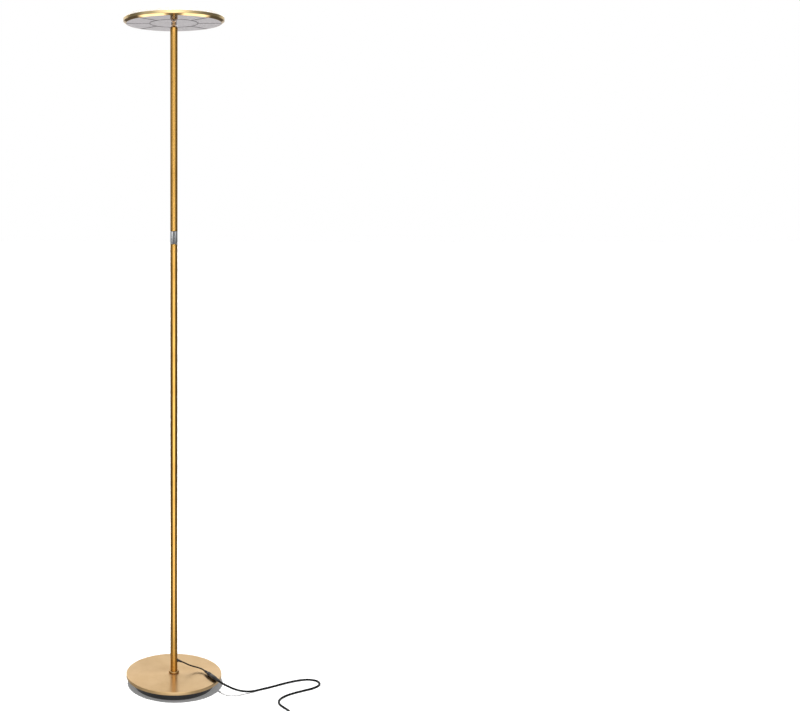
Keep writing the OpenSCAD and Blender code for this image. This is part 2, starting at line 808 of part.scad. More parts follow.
module lamp_lead() {
    start = nose_root + 0.7 * [cos(nose_drop), 0, -sin(nose_drop)];
    color("black") swept(smooth_route(concat([start], lamp_route), 2), lamp_lead_r - 0.02, 8);
}

// Places a child that points along +Z from the lead's end of the connector towards the supply lead
module along_connector() {
    start = lamp_route[len(lamp_route) - 1];
    way = connector_end - start;
    translate(start)
        rotate([0, acos(way[2] / norm(way)), atan2(way[1], way[0])])
            children();
}

module lamp_connector() {
    color([0.10, 0.10, 0.11])
        along_connector()
            rotate_extrude()
                polygon([[0, 0], [lamp_lead_r + 0.6, 0], [lamp_lead_r + 1.3, 12],
                         [connector_r - 0.6, 14], [connector_r, 15.5], [connector_r, plug_len - 0.2],
                         [0, plug_len - 0.2]]);
}

module supply_connector() {
    color([0.08, 0.08, 0.09])
        along_connector()
            rotate_extrude()
                polygon([[0, plug_len], [connector_r, plug_len], [connector_r, connector_len - 17],
                         [connector_r - 0.6, connector_len - 15.5],
                         [supply_lead_r + 1.2, connector_len - 14], [supply_lead_r + 0.5, connector_len],
                         [0, connector_len]]);
}

module supply_lead() {
    color("black") swept(smooth_route(supply_route, 2), supply_lead_r, 8);
}

module supply_coil() {
    soft = 2;
    color("black")
        translate([coil_at[0], coil_at[1], coil_lift])
            rotate_extrude()
                polygon([[coil_in + soft, 0], [coil_out - soft, 0], [coil_out, soft],
                         [coil_out, coil_h - soft], [coil_out - soft, coil_h], [coil_in + soft, coil_h],
                         [coil_in, coil_h - soft], [coil_in, soft]]);
}

module coil_tie() {
    band = 0.8;
    width = coil_out - coil_in + 0.4;
    height = coil_h + 0.4;
    color([0.15, 0.15, 0.16])
        translate([coil_at[0], coil_at[1] + (coil_in + coil_out) / 2, coil_lift - 0.2])
            difference() {
                translate([-3, -width / 2 - band, -band]) cube([6, width + 2 * band, height + 2 * band]);
                translate([-4, -width / 2, 0]) cube([8, width, height]);
            }
}

module supply_lead_end() {
    color("black") swept(smooth_route(end_route, 2), supply_lead_r, 8);
}

module adapter_relief() {
    color([0.08, 0.08, 0.09])
        translate(relief_at) rotate([0, -90, 0])
            cylinder(r1 = supply_lead_r + 0.5, r2 = supply_lead_r + 2.5, h = relief_len);
}

module adapter_case() {
    soft = 4;
    size = adapter_size;
    color([0.08, 0.08, 0.09])
        translate(adapter_at - [size[0], size[1] / 2, 0]) {
            translate([soft, 0, 0]) cube([size[0] - 2 * soft, size[1], size[2]]);
            translate([0, soft, 0]) cube([size[0], size[1] - 2 * soft, size[2]]);
            for (x = [soft, size[0] - soft], y = [soft, size[1] - soft])
                translate([x, y, 0]) cylinder(r = soft, h = size[2]);
        }
}

module adapter_blades() {
    color("silver")
        for (side = [-1, 1])
            translate([adapter_at[0] - adapter_size[0] - blade_size[0],
                       adapter_at[1] + side * blade_gap / 2 - blade_size[1] / 2,
                       (adapter_size[2] - blade_size[2]) / 2])
                cube(blade_size);
}

lens();
diffusion_sheet();
head_pan();
trim_ring();
back_plate();
heat_spreader();
led_board();
led_chips();
reflector_sheet();
board_screws();
lens_screws();
mount_plate();
mount_screws();
head_wire();
hinge_tongue();
tongue_nut();
hinge_fork();
fork_nut();
pivot_screws();
friction_washers();
pole_cap();
upper_tube();
upper_bush();
upper_washer();
touch_ring();
ring_core();
joint_nipple();
touch_wire();
lower_washer();
lower_bush();
lower_tube();
dimmer_board();
pole_wire();
inner_lead();
foot_bush();
foot_collar();
base_cover();
base_weight();
base_shell();
shell_screws();
foot_ring();
tie_rod();
rod_washer();
rod_nut();
grommet();
lamp_lead();
lamp_connector();
supply_connector();
supply_lead();
supply_coil();
coil_tie();
supply_lead_end();
adapter_relief();
adapter_case();
adapter_blades();
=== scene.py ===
import math

import bpy
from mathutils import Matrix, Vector
from mathutils.geometry import interpolate_bezier


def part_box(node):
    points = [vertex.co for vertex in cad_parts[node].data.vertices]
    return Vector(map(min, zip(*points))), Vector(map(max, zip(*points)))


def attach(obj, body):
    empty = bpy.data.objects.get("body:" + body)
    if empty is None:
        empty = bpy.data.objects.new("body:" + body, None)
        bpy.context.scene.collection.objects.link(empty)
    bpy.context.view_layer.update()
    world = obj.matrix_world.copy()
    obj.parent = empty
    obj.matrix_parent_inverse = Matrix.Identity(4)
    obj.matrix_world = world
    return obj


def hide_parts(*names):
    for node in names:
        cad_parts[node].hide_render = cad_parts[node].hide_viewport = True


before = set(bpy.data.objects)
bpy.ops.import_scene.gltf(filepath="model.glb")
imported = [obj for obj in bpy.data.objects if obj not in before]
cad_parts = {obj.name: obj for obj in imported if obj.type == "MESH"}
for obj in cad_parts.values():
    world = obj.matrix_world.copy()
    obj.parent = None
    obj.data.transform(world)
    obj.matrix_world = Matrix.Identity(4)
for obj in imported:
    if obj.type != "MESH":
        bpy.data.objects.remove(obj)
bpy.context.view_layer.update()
scene = bpy.context.scene

# --- Camera ---
# Stands 2.6 m in front of the lamp, a little above half its height, looking slightly down.
# The lens shift sets the lamp in the left of the frame, and the lead runs to its right.
camera_lens = bpy.data.cameras.new("camera")
camera_lens.sensor_width = 36
camera_lens.lens = 49.95
camera_lens.shift_x = 0.2826
camera = bpy.data.objects.new("camera", camera_lens)
camera.location = (0, -2.6193, 1.1564)
camera.rotation_euler = (math.radians(90 - 7.382), 0, 0)
scene.collection.objects.link(camera)
scene.camera = camera
scene.view_settings.view_transform = "Standard"

# --- Leads ---
# A thin two-core lead hangs from the pole to the in-line connector. The thicker supply lead runs
# on over the floor, and what is left of it is wound in a small coil in front of the lamp. Both
# have an extruded black sheath, smooth with a soft shine.
THIN_LEAD, SUPPLY_LEAD = 0.0035, 0.005
thin_route = [
    (0.0103, 0, 0.05874), (0.0146, 0, 0.0570), (0.019, 0, 0.0553), (0.0235, 0.0008, 0.0532),
    (0.0285, 0.0032, 0.0498), (0.035, 0.0068, 0.045), (0.042, 0.010, 0.041), (0.050, 0.012, 0.0376),
    (0.0575, 0.012, 0.0356), (0.064, 0.0095, 0.0344), (0.0695, 0.0055, 0.0338),
    (0.0736, 0.0004, 0.0333), (0.077, -0.006, 0.0332),
]
CONNECTOR_END = (0.109, -0.064, 0.033)
supply_route = [
    CONNECTOR_END, (0.1135, -0.0705, 0.0323), (0.120, -0.0755, 0.0304), (0.130, -0.079, 0.0266),
    (0.141, -0.0795, 0.0216), (0.153, -0.076, 0.0158), (0.165, -0.069, 0.0102),
    (0.178, -0.0615, 0.0058), (0.192, -0.0535, 0.0032), (0.207, -0.045, 0.0025),
    (0.224, -0.036, 0.0025), (0.243, -0.0255, 0.0025), (0.262, -0.014, 0.0025),
    (0.282, -0.0025, 0.0025), (0.300, 0.006, 0.0025), (0.318, 0.0125, 0.0025),
    (0.334, 0.0145, 0.0025), (0.348, 0.0105, 0.0025), (0.357, 0.002, 0.0025), (0.359, -0.01, 0.0025),
    (0.352, -0.0245, 0.0025), (0.339, -0.036, 0.0025), (0.322, -0.046, 0.0025),
    (0.304, -0.0555, 0.0025), (0.287, -0.0655, 0.0025), (0.271, -0.077, 0.0025),
    (0.258, -0.0905, 0.0025), (0.250, -0.106, 0.0025), (0.249, -0.1205, 0.0025),
    (0.253, -0.133, 0.0025), (0.260, -0.145, 0.0025), (0.267, -0.157, 0.0025),
    (0.2715, -0.1715, 0.0026), (0.2725, -0.188, 0.0029), (0.2712, -0.206, 0.0033),
]
COIL, COIL_TURNS, STEPS_PER_TURN = (0.2375, -0.222), 5.25, 20
# Where the coil is along its winding, in turns, with its radius and height there
coil_steps = [
    (0, 0.0325, 0.0035), (0.8, 0.0325, 0.0035), (1.0, 0.0275, 0.0035), (1.8, 0.0275, 0.0035),
    (2.0, 0.0225, 0.0035), (2.6, 0.0225, 0.0035), (2.8, 0.0225, 0.0085), (3.4, 0.0225, 0.0085),
    (3.6, 0.0275, 0.0085), (4.4, 0.0275, 0.0085), (4.6, 0.0325, 0.0085), (COIL_TURNS, 0.0325, 0.0085),
]
for step in range(int(COIL_TURNS * STEPS_PER_TURN) + 1):
    turn = step / STEPS_PER_TURN
    (t0, r0, z0), (t1, r1, z1) = next(
        pair for pair in zip(coil_steps, coil_steps[1:]) if turn <= pair[1][0])
    blend = (turn - t0) / (t1 - t0)
    blend = blend * blend * (3 - 2 * blend)
    radius, angle = r0 + (r1 - r0) * blend, -math.tau * turn
    supply_route.append((COIL[0] + radius * math.cos(angle), COIL[1] + radius * math.sin(angle),
                         z0 + (z1 - z0) * blend))
supply_route += [(0.232, -0.2545, 0.0088), (0.225, -0.2545, 0.0104), (0.219, -0.2545, 0.012)]


def lead(name, route, thickness):
    """A round lead that runs through the route's points, its centreline, and its length."""
    curve = bpy.data.curves.new(name, "CURVE")
    curve.dimensions = "3D"
    curve.bevel_depth = thickness / 2
    curve.bevel_resolution = 5
    curve.resolution_u = 6
    curve.use_fill_caps = True
    spline = curve.splines.new("BEZIER")
    spline.bezier_points.add(len(route) - 1)
    places = [Vector(place) for place in route]
    for i, point in enumerate(spline.bezier_points):
        before, here, after = places[max(i - 1, 0)], places[i], places[min(i + 1, len(places) - 1)]
        way = (after - before).normalized()
        point.handle_left_type = point.handle_right_type = "FREE"
        point.co = here
        point.handle_left = here - way * (here - before).length / 3
        point.handle_right = here + way * (after - here).length / 3
    centreline = [places[0]]
    for here, after in zip(spline.bezier_points, spline.bezier_points[1:]):
        centreline += interpolate_bezier(here.co, here.handle_right, after.handle_left, after.co,
                                         curve.resolution_u + 1)[1:]
    length = sum((b - a).length for a, b in zip(centreline, centreline[1:]))
    bpy.ops.object.select_all(action="DESELECT")
    piece = bpy.data.objects.new(name, curve)
    scene.collection.objects.link(piece)
    bpy.context.view_layer.objects.active = piece
    piece.select_set(True)
    bpy.ops.object.convert(target="MESH")
    bpy.ops.object.shade_smooth_by_angle(angle=math.radians(50))
    return piece, [list(point) for point in centreline], length


thin_lead, thin_path, thin_length = lead("thin_lead", thin_route, THIN_LEAD)
supply_lead, supply_path, supply_length = lead("supply_lead_full", supply_route, SUPPLY_LEAD)
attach(thin_lead, "stand")
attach(supply_lead, "stand")
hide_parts("lamp_lead")
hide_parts("supply_lead", "supply_coil", "supply_lead_end")


def add(tree, kind, inputs=None, **settings):
    """A node in the tree, with its settings, and its inputs linked or set."""
    node = tree.nodes.new(kind)
    for key, value in settings.items():
        setattr(node, key, value)
    for key, value in (inputs or {}).items():
        if isinstance(value, bpy.types.NodeSocket):
            tree.links.new(value, node.inputs[key])
        else:
            node.inputs[key].default_value = value
    return node


def math_node(tree, operation, *values, clamp=False):
    """A math node's result."""
    node = add(tree, "ShaderNodeMath", operation=operation, use_clamp=clamp)
    for socket, value in zip(node.inputs, values):
        if isinstance(value, bpy.types.NodeSocket):
            tree.links.new(value, socket)
        else:
            socket.default_value = value
    return node.outputs[0]


def spread(tree, value, low, high, to_low=0.0, to_high=1.0):
    """The value's range from low to high, stretched to another range and kept in it."""
    return add(tree, "ShaderNodeMapRange", {"Value": value, "From Min": low, "From Max": high,
                                            "To Min": to_low, "To Max": to_high}).outputs[0]


def two_colours(tree, mask, first, second):
    """The first colour where the mask is 0, the second where it is 1."""
    node = add(tree, "ShaderNodeMix", data_type="RGBA")
    tree.links.new(mask, node.inputs[0])
    for socket, colour in ((node.inputs[6], first), (node.inputs[7], second)):
        if isinstance(colour, bpy.types.NodeSocket):
            tree.links.new(colour, socket)
        else:
            socket.default_value = (*colour, 1)
    return node.outputs[2]


def finish(name, **shader_values):
    """A new material: its tree and its shader, with the shader's plain values set."""
    material = bpy.data.materials.new(name)
    material.use_nodes = True
    tree = material.node_tree
    shader = tree.nodes["Principled BSDF"]
    for key, value in shader_values.items():
        shader.inputs[key.replace("_", " ")].default_value = value
    return material, tree, shader


def bump(tree, shader, height, strength, distance):
    """Lets a height ripple the shader's surface."""
    node = add(tree, "ShaderNodeBump", {"Height": height, "Strength": strength, "Distance": distance})
    tree.links.new(node.outputs[0], shader.inputs["Normal"])


def group(name, inputs, outputs):
    """An empty node group with named number inputs and outputs: its tree, input and output."""
    tree = bpy.data.node_groups.new(name, "ShaderNodeTree")
    for label, default in inputs.items():
        socket = tree.interface.new_socket(label, in_out="INPUT", socket_type="NodeSocketFloat")
        socket.default_value = default
    for label in outputs:
        tree.interface.new_socket(label, in_out="OUTPUT", socket_type="NodeSocketFloat")
    return tree, tree.nodes.new("NodeGroupInput").outputs, tree.nodes.new("NodeGroupOutput").inputs


def use(tree, group_tree, **values):
    """A group's outputs in a material's tree, with its inputs set."""
    node = add(tree, "ShaderNodeGroup", node_tree=group_tree)
    for key, value in values.items():
        node.inputs[key.replace("_", " ")].default_value = value
    return node.outputs


def from_axis(tree):
    """A point's place on the object, its three parts, and its distance from the upright axis."""
    place = add(tree, "ShaderNodeTexCoord").outputs["Object"]
    axes = add(tree, "ShaderNodeSeparateXYZ", {"Vector": place}).outputs
    flat = add(tree, "ShaderNodeCombineXYZ", {0: axes["X"], 1: axes["Y"]}).outputs[0]
    return place, axes, add(tree, "ShaderNodeVectorMath", {0: flat}, operation="LENGTH").outputs["Value"]


# Moulded skin: the fine grain of a moulded or extruded plastic, and the slow mottling of its
# gloss from handling
skin_group, given, out = group("moulded skin", {"Grain": 900, "Mottle": 25}, ["Height", "Patches"])
place = add(skin_group, "ShaderNodeTexCoord").outputs["Object"]
grain = add(skin_group, "ShaderNodeTexNoise", {"Vector": place, "Scale": given["Grain"], "Detail": 3.0})
skin_group.links.new(grain.outputs[0], out["Height"])
patches = add(skin_group, "ShaderNodeTexNoise", {"Vector": place, "Scale": given["Mottle"], "Detail": 5.0,
                                                 "Roughness": 0.62})
skin_group.links.new(spread(skin_group, patches.outputs[0], 0.35, 0.68), out["Patches"])


def plastic(name, dark, light, rough, grain, mottle, lift, shine=0.5, ior=1.5):
    """A moulded or extruded plastic or rubber: mottled colour and gloss over a fine grain."""
    material, tree, shader = finish(name, Specular_IOR_Level=shine, IOR=ior)
    skin = use(tree, skin_group, Grain=grain, Mottle=mottle)
    tree.links.new(two_colours(tree, skin["Patches"], dark, light), shader.inputs["Base Color"])
    tree.links.new(spread(tree, skin["Patches"], 0, 1, *rough), shader.inputs["Roughness"])
    bump(tree, shader, skin["Height"], 0.35, lift)
    return material


cable_black = plastic("sheath black", (0.003, 0.003, 0.003), (0.006, 0.006, 0.006), (0.42, 0.58),
                      700, 60, 0.0002, shine=0.25)
thin_lead.data.materials.append(cable_black)
supply_lead.data.materials.append(cable_black)


def paint(material, *names):
    """Gives CAD nodes a material."""
    for name in names:
        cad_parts[name].material_slots[0].material = material


paint(cable_black, "inner_lead", "lamp_lead", "supply_lead", "supply_coil", "supply_lead_end",
      "lamp_connector", "supply_connector", "coil_tie", "adapter_relief", "adapter_case", "adapter_blades")


def block(name, low, high):
    """A plain box between two corners."""
    bpy.ops.object.select_all(action="DESELECT")
    bpy.ops.mesh.primitive_cube_add(size=1, location=(low + high) / 2)
    piece = bpy.context.active_object
    piece.name = piece.data.name = name
    piece.scale = high - low
    bpy.ops.object.transform_apply()
    return piece


def choose_faces(piece, wanted):
    """Goes into edit mode with only the wanted faces selected."""
    bpy.ops.object.mode_set(mode="EDIT")
    bpy.ops.mesh.select_mode(type="FACE")
    bpy.ops.mesh.select_all(action="DESELECT")
    bpy.ops.object.mode_set(mode="OBJECT")
    for face in piece.data.polygons:
        face.select = wanted(face)
    bpy.ops.object.mode_set(mode="EDIT")


def turned_piece(name, profile, start, toward, sides=40):
    """A round piece along a line from start: its profile is pairs of distance along it and radius."""
    bpy.ops.object.select_all(action="DESELECT")
    (first, radius), *rest = profile
    bpy.ops.mesh.primitive_circle_add(vertices=sides, radius=radius, fill_type="NGON",
                                      location=(0, 0, first))
    piece = bpy.context.active_object
    piece.name = piece.data.name = name
    bpy.ops.object.transform_apply()
    bpy.ops.object.mode_set(mode="EDIT")
    bpy.ops.mesh.select_all(action="SELECT")
    for along, next_radius in rest:
        bpy.ops.mesh.extrude_region_move(TRANSFORM_OT_translate={"value": (0, 0, along - first)})
        size = next_radius / radius
        bpy.ops.transform.resize(value=(size, size, 1), center_override=(0, 0, along))
        first, radius = along, next_radius
    bpy.ops.mesh.select_all(action="SELECT")
    bpy.ops.mesh.normals_make_consistent(inside=False)
    bpy.ops.object.mode_set(mode="OBJECT")
    piece.rotation_mode = "QUATERNION"
    piece.rotation_quaternion = Vector(toward).to_track_quat("Z", "Y")
    piece.location = start
    bpy.ops.object.transform_apply()
    bpy.ops.object.shade_smooth_by_angle(angle=math.radians(40))
    return piece


def ribs(count, first, pitch, radius, grow, deep):
    """The profile of a row of moulded rings, each a little wider than the one before."""
    steps = []
    for i in range(count):
        at, top = first + pitch * i, radius + grow * i
        steps += [(at, top - deep), (at + 0.13 * pitch, top), (at + 0.52 * pitch, top),
                  (at + 0.65 * pitch, top - deep)]
    return steps


# --- In-line connector ---
# Two moulded barrels that screw together, each with a ringed strain relief where its lead goes
# in, and raised bars round the barrel to grip it by.
CONNECTOR_START = Vector(thin_route[-1])
connector_way = (Vector(CONNECTOR_END) - CONNECTOR_START).normalized()
moulded = plastic("connector black", (0.010, 0.011, 0.012), (0.024, 0.025, 0.027), (0.30, 0.46), 1500, 45,
                  0.00025)
lamp_profile = [(0, 0.0022)] + ribs(5, 0.0004, 0.0022, 0.0030, 0.0001, 0.0007) + [
    (0.0118, 0.0033), (0.0134, 0.0041), (0.0148, 0.0046), (0.0158, 0.0047), (0.0240, 0.0047),
    (0.0246, 0.0044), (0.0252, 0.0044), (0.0258, 0.0047), (0.0268, 0.0047)]
supply_profile = [
    (0.0270, 0.0047), (0.0276, 0.0047), (0.0282, 0.0044), (0.0288, 0.0044), (0.0294, 0.0047),
    (0.0480, 0.0047), (0.0492, 0.0046), (0.0506, 0.0042), (0.0520, 0.0036)] + ribs(
    5, 0.0526, 0.0025, 0.0040, -0.00012, 0.0007) + [(0.0658, 0.0028), (0.0662, 0.0027)]
lamp_half = turned_piece("lamp_half", lamp_profile, CONNECTOR_START, connector_way)
supply_half = turned_piece("supply_half", supply_profile, CONNECTOR_START, connector_way)
BAR_EVERY = 4
for half, low, high in ((lamp_half, 0.0160, 0.0238), (supply_half, 0.0296, 0.0478)):
    bpy.ops.object.select_all(action="DESELECT")
    bpy.context.view_layer.objects.active = half
    half.select_set(True)
    bearings = {}
    for face in half.data.polygons:
        offset = face.center - CONNECTOR_START
        if low < offset.dot(connector_way) < high:
            bearings[face.index] = math.atan2(*offset.cross(connector_way).xz)
    bars = sorted(bearings, key=bearings.get)[::BAR_EVERY]
    choose_faces(half, lambda face: face.index in bars)
    bpy.ops.mesh.inset(thickness=0.0001, depth=0.0002, use_individual=True)
    bpy.ops.object.mode_set(mode="OBJECT")
    half.data.materials.append(moulded)
    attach(half, "stand")
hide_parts("lamp_connector")
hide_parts("supply_connector")

# --- Wall adapter ---
# A moulded box of two half shells with a fine seam between, a sunk panel on top, and a long
# ringed relief that the lead goes into.
SEAM_WIDTH = 0.0008
case_low, case_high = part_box("adapter_case")
case = block("adapter_shell", case_low, case_high)
bevel = case.modifiers.new("soft edges", "BEVEL")
bevel.width, bevel.segments = 0.0035, 4
bpy.ops.object.modifier_apply(modifier="soft edges")
seam = (case_low.z + case_high.z) / 2
bpy.ops.object.mode_set(mode="EDIT")
for height in (seam - SEAM_WIDTH / 2, seam + SEAM_WIDTH / 2):
    bpy.ops.mesh.select_all(action="SELECT")
    bpy.ops.mesh.bisect(plane_co=(0, 0, height), plane_no=(0, 0, 1))
choose_faces(case, lambda face: abs(face.center.z - seam) < SEAM_WIDTH * 0.4)
bpy.ops.mesh.extrude_region_shrink_fatten(TRANSFORM_OT_shrink_fatten={"value": -0.0006})
choose_faces(case, lambda face: face.normal.z > 0.99 and face.center.z > case_high.z - 0.0002)
bpy.ops.mesh.inset(thickness=0.005, depth=0)
bpy.ops.mesh.inset(thickness=0.0006, depth=-0.0005)
bpy.ops.object.mode_set(mode="OBJECT")
bpy.ops.object.shade_smooth_by_angle(angle=math.radians(35))
case.data.materials.append(moulded)
relief_low, relief_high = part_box("adapter_relief")
relief_profile = [(0, 0.0029)] + ribs(7, 0.0006, 0.0026, 0.0034, 0.00022, 0.0006) + [
    (0.0190, 0.0046), (0.0205, 0.0050), (0.0221, 0.0050)]
relief = turned_piece("adapter_relief_ribbed", relief_profile, (
    relief_high.x, (relief_low.y + relief_high.y) / 2, (relief_low.z + relief_high.z) / 2), (-1, 0, 0))
relief.data.materials.append(moulded)

# Two flat blades, nickel plated, each with chamfered tips and a round hole
blade_low, blade_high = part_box("adapter_blades")
BLADE_THICK, HOLE_RADIUS, HOLE_FROM_TIP = 0.0015, 0.0016, 0.0045
blade_nickel, tree, shader = finish("blade nickel", Metallic=1.0)
skin = use(tree, skin_group, Grain=1200, Mottle=220)
tree.links.new(two_colours(tree, skin["Patches"], (0.52, 0.50, 0.47), (0.75, 0.72, 0.68)),
               shader.inputs["Base Color"])
tree.links.new(spread(tree, skin["Patches"], 0, 1, 0.16, 0.32), shader.inputs["Roughness"])
bump(tree, shader, skin["Height"], 0.3, 0.0001)
blades = block("plug_blades", blade_low, Vector((blade_high.x, blade_low.y + BLADE_THICK, blade_high.z)))
bpy.ops.object.select_all(action="DESELECT")
bpy.ops.mesh.primitive_cylinder_add(vertices=32, radius=HOLE_RADIUS, depth=0.01, location=(
    blade_low.x + HOLE_FROM_TIP, blade_low.y, (blade_low.z + blade_high.z) / 2), rotation=(math.pi / 2, 0, 0))
drill = bpy.context.active_object
bpy.ops.object.select_all(action="DESELECT")
bpy.context.view_layer.objects.active = blades
blades.select_set(True)
hole = blades.modifiers.new("hole", "BOOLEAN")
hole.object, hole.operation, hole.solver = drill, "DIFFERENCE", "EXACT"
bpy.ops.object.modifier_apply(modifier="hole")
bpy.data.objects.remove(drill)
bevel = blades.modifiers.new("chamfers", "BEVEL")
bevel.width, bevel.segments, bevel.limit_method = 0.00035, 2, "ANGLE"
bpy.ops.object.modifier_apply(modifier="chamfers")
bpy.ops.object.mode_set(mode="EDIT")
bpy.ops.mesh.select_all(action="SELECT")
bpy.ops.mesh.duplicate_move(TRANSFORM_OT_translate={
    "value": (0, blade_high.y - blade_low.y - BLADE_THICK, 0)})
bpy.ops.object.mode_set(mode="OBJECT")
bpy.ops.object.shade_smooth_by_angle(angle=math.radians(35))
blades.data.materials.append(blade_nickel)

# --- Coil tie ---
# A woven hook-and-loop band round the turns of the coil, its loose end lapped over on top.
TAPE_THICK = 0.0007
tie_low, tie_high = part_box("coil_tie")
tie = block("tie_band", tie_low, tie_high)
choose_faces(tie, lambda face: abs(face.normal.x) > 0.9)
bpy.ops.mesh.delete(type="ONLY_FACE")
bpy.ops.mesh.select_mode(type="EDGE")
bpy.ops.object.mode_set(mode="OBJECT")
for side in tie.data.edges:
    one, other = (tie.data.vertices[i].co for i in side.vertices)
    side.select = abs(one.x - other.x) > 0.001
bpy.ops.object.mode_set(mode="EDIT")
bpy.ops.mesh.bevel(offset=0.003, segments=5)
choose_faces(tie, lambda face: face.center.z > tie_high.z - 0.0001)
bpy.ops.mesh.duplicate_move(TRANSFORM_OT_translate={"value": (0, -0.0025, TAPE_THICK)})
bpy.ops.mesh.select_all(action="SELECT")
bpy.ops.mesh.subdivide(number_cuts=2)
bpy.ops.object.mode_set(mode="OBJECT")
wall = tie.modifiers.new("band", "SOLIDIFY")
wall.thickness, wall.offset = TAPE_THICK, -1
bpy.ops.object.modifier_apply(modifier="band")
bpy.ops.object.shade_smooth_by_angle(angle=math.radians(40))
loops, tree, shader = finish("loop tape", Specular_IOR_Level=0.2, Sheen_Weight=0.35, Sheen_Roughness=0.5)
fuzz = use(tree, skin_group, Grain=2200, Mottle=900)
tree.links.new(two_colours(tree, fuzz["Patches"], (0.008, 0.008, 0.009), (0.045, 0.045, 0.047)),
               shader.inputs["Base Color"])
tree.links.new(spread(tree, fuzz["Patches"], 0, 1, 0.8, 1.0), shader.inputs["Roughness"])
bump(tree, shader, fuzz["Height"], 0.9, 0.0006)
tie.data.materials.append(loops)
for piece, node, slot in ((case, "adapter_case", "connector_black"),
                          (relief, "adapter_relief", "connector_black"),
                          (blades, "adapter_blades", "blade_nickel"), (tie, "coil_tie", "connector_black")):
    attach(piece, "stand")
    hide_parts(node)

# --- Studio ---
# A plain pale floor and background under one high soft lamp. The metal mirrors a studio of its
# own: two tall soft panels in front, left and right of a dark gap, and bright paper before them.
PAPER_FRONT, PAPER_BACK, PAPER_LEAST = 3.8, 2.2, 0.10
PANEL_LIGHT, CEILING_LIGHT, GAP_LIGHT = 2.0, 0.95, 2.2
FILL_LIGHT, PLAIN_LIGHT = 0.27, 1.0
bpy.ops.object.select_all(action="DESELECT")
bpy.ops.mesh.primitive_plane_add(size=80)
floor = bpy.context.active_object
floor.name = "floor"
floor_paper, tree, shader = finish("floor paper", Roughness=0.9)
shader.inputs["Base Color"].default_value = (0.86, 0.86, 0.86, 1)
shader.inputs["Specular IOR Level"].default_value = 0.1
shader.inputs["Emission Color"].default_value = (1, 1, 1, 1)
shader.inputs["Emission Strength"].default_value = 0.16
place = add(tree, "ShaderNodeTexCoord").outputs["Object"]
axes = add(tree, "ShaderNodeSeparateXYZ", {"Vector": place}).outputs
distance = add(tree, "ShaderNodeVectorMath", {0: place}, operation="LENGTH").outputs["Value"]
turned = math_node(tree, "ABSOLUTE", math_node(tree, "ARCTAN2", axes["X"],
                                               math_node(tree, "MULTIPLY", axes["Y"], -1.0)))


def ramp(tree, value, reach, *stops):
    """Numbers set at places from 0 to reach, with straight runs between them."""
    node = add(tree, "ShaderNodeValToRGB", {"Fac": spread(tree, value, 0, reach)})
    for position, number in stops:
        node.color_ramp.elements.new(position / reach).color = (number, number, number, 1)
    node.color_ramp.elements.remove(node.color_ramp.elements[0])
    node.color_ramp.elements.remove(node.color_ramp.elements[-1])
    return node.outputs[0]


# What the metal mirrors of the floor: bright paper in front, a bright ring of it behind
front = math_node(tree, "MULTIPLY", spread(tree, turned, 0.28, 0.85, PAPER_FRONT, 0.0),
                  ramp(tree, distance, 20, (0.15, 0.09), (0.26, 0.38), (1.5, 0.56), (4, 0.78), (8, 1.0),
                       (11, 0.9), (15, 0.02)))
back_ring = math_node(tree, "MULTIPLY", spread(tree, turned, 2.0, 2.25, 0.0, PAPER_BACK),
                      ramp(tree, distance, 20, (0.37, 0.0), (0.46, 1.0), (1.25, 1.0), (1.7, 0.01),
                           (6.5, 0.01), (8.5, 0.23), (19, 0.23)))
close_by = math_node(tree, "MULTIPLY", spread(tree, distance, 0.28, 0.36, 0.35, 0.0),
                     spread(tree, axes["Y"], 0.02, 0.12, 1.0, 0.0))
mirrored = math_node(tree, "ADD", math_node(tree, "MAXIMUM", front, close_by),
                     math_node(tree, "ADD", back_ring, PAPER_LEAST))
mirrored_floor = add(tree, "ShaderNodeEmission", {"Strength": mirrored})
ray = add(tree, "ShaderNodeLightPath").outputs
seen = add(tree, "ShaderNodeMixShader", {0: ray["Is Glossy Ray"], 1: shader.outputs[0],
                                         2: mirrored_floor.outputs[0]})
from_below = add(tree, "ShaderNodeMixShader", {
    0: add(tree, "ShaderNodeNewGeometry").outputs["Backfacing"], 1: seen.outputs[0],
    2: add(tree, "ShaderNodeBsdfTransparent").outputs[0]})
tree.links.new(from_below.outputs[0], tree.nodes["Material Output"].inputs["Surface"])
floor.data.materials.append(floor_paper)

studio = bpy.data.worlds.new("studio")
scene.world = studio
studio.use_nodes = True
tree = studio.node_tree
backdrop = tree.nodes["Background"]
backdrop.inputs["Color"].default_value = (1, 1, 1, 1)
way = add(tree, "ShaderNodeSeparateXYZ", {
    "Vector": add(tree, "ShaderNodeTexCoord").outputs["Generated"]}).outputs
bearing = math_node(tree, "ARCTAN2", way["X"], math_node(tree, "MULTIPLY", way["Y"], -1.0))
from_back = math_node(tree, "ADD", math_node(tree, "DEGREES", bearing), 180)
panels = math_node(tree, "MULTIPLY", PANEL_LIGHT, ramp(
    tree, from_back, 360, (0.1, 0.45), (44, 0.45), (56, 0.06), (92, 0.10), (106, 0.50), (152, 0.55),
    (163, 0.02), (194, 0.02), (204, 0.42), (240, 0.36), (254, 0.10), (300, 0.06), (316, 0.45), (359, 0.45)))
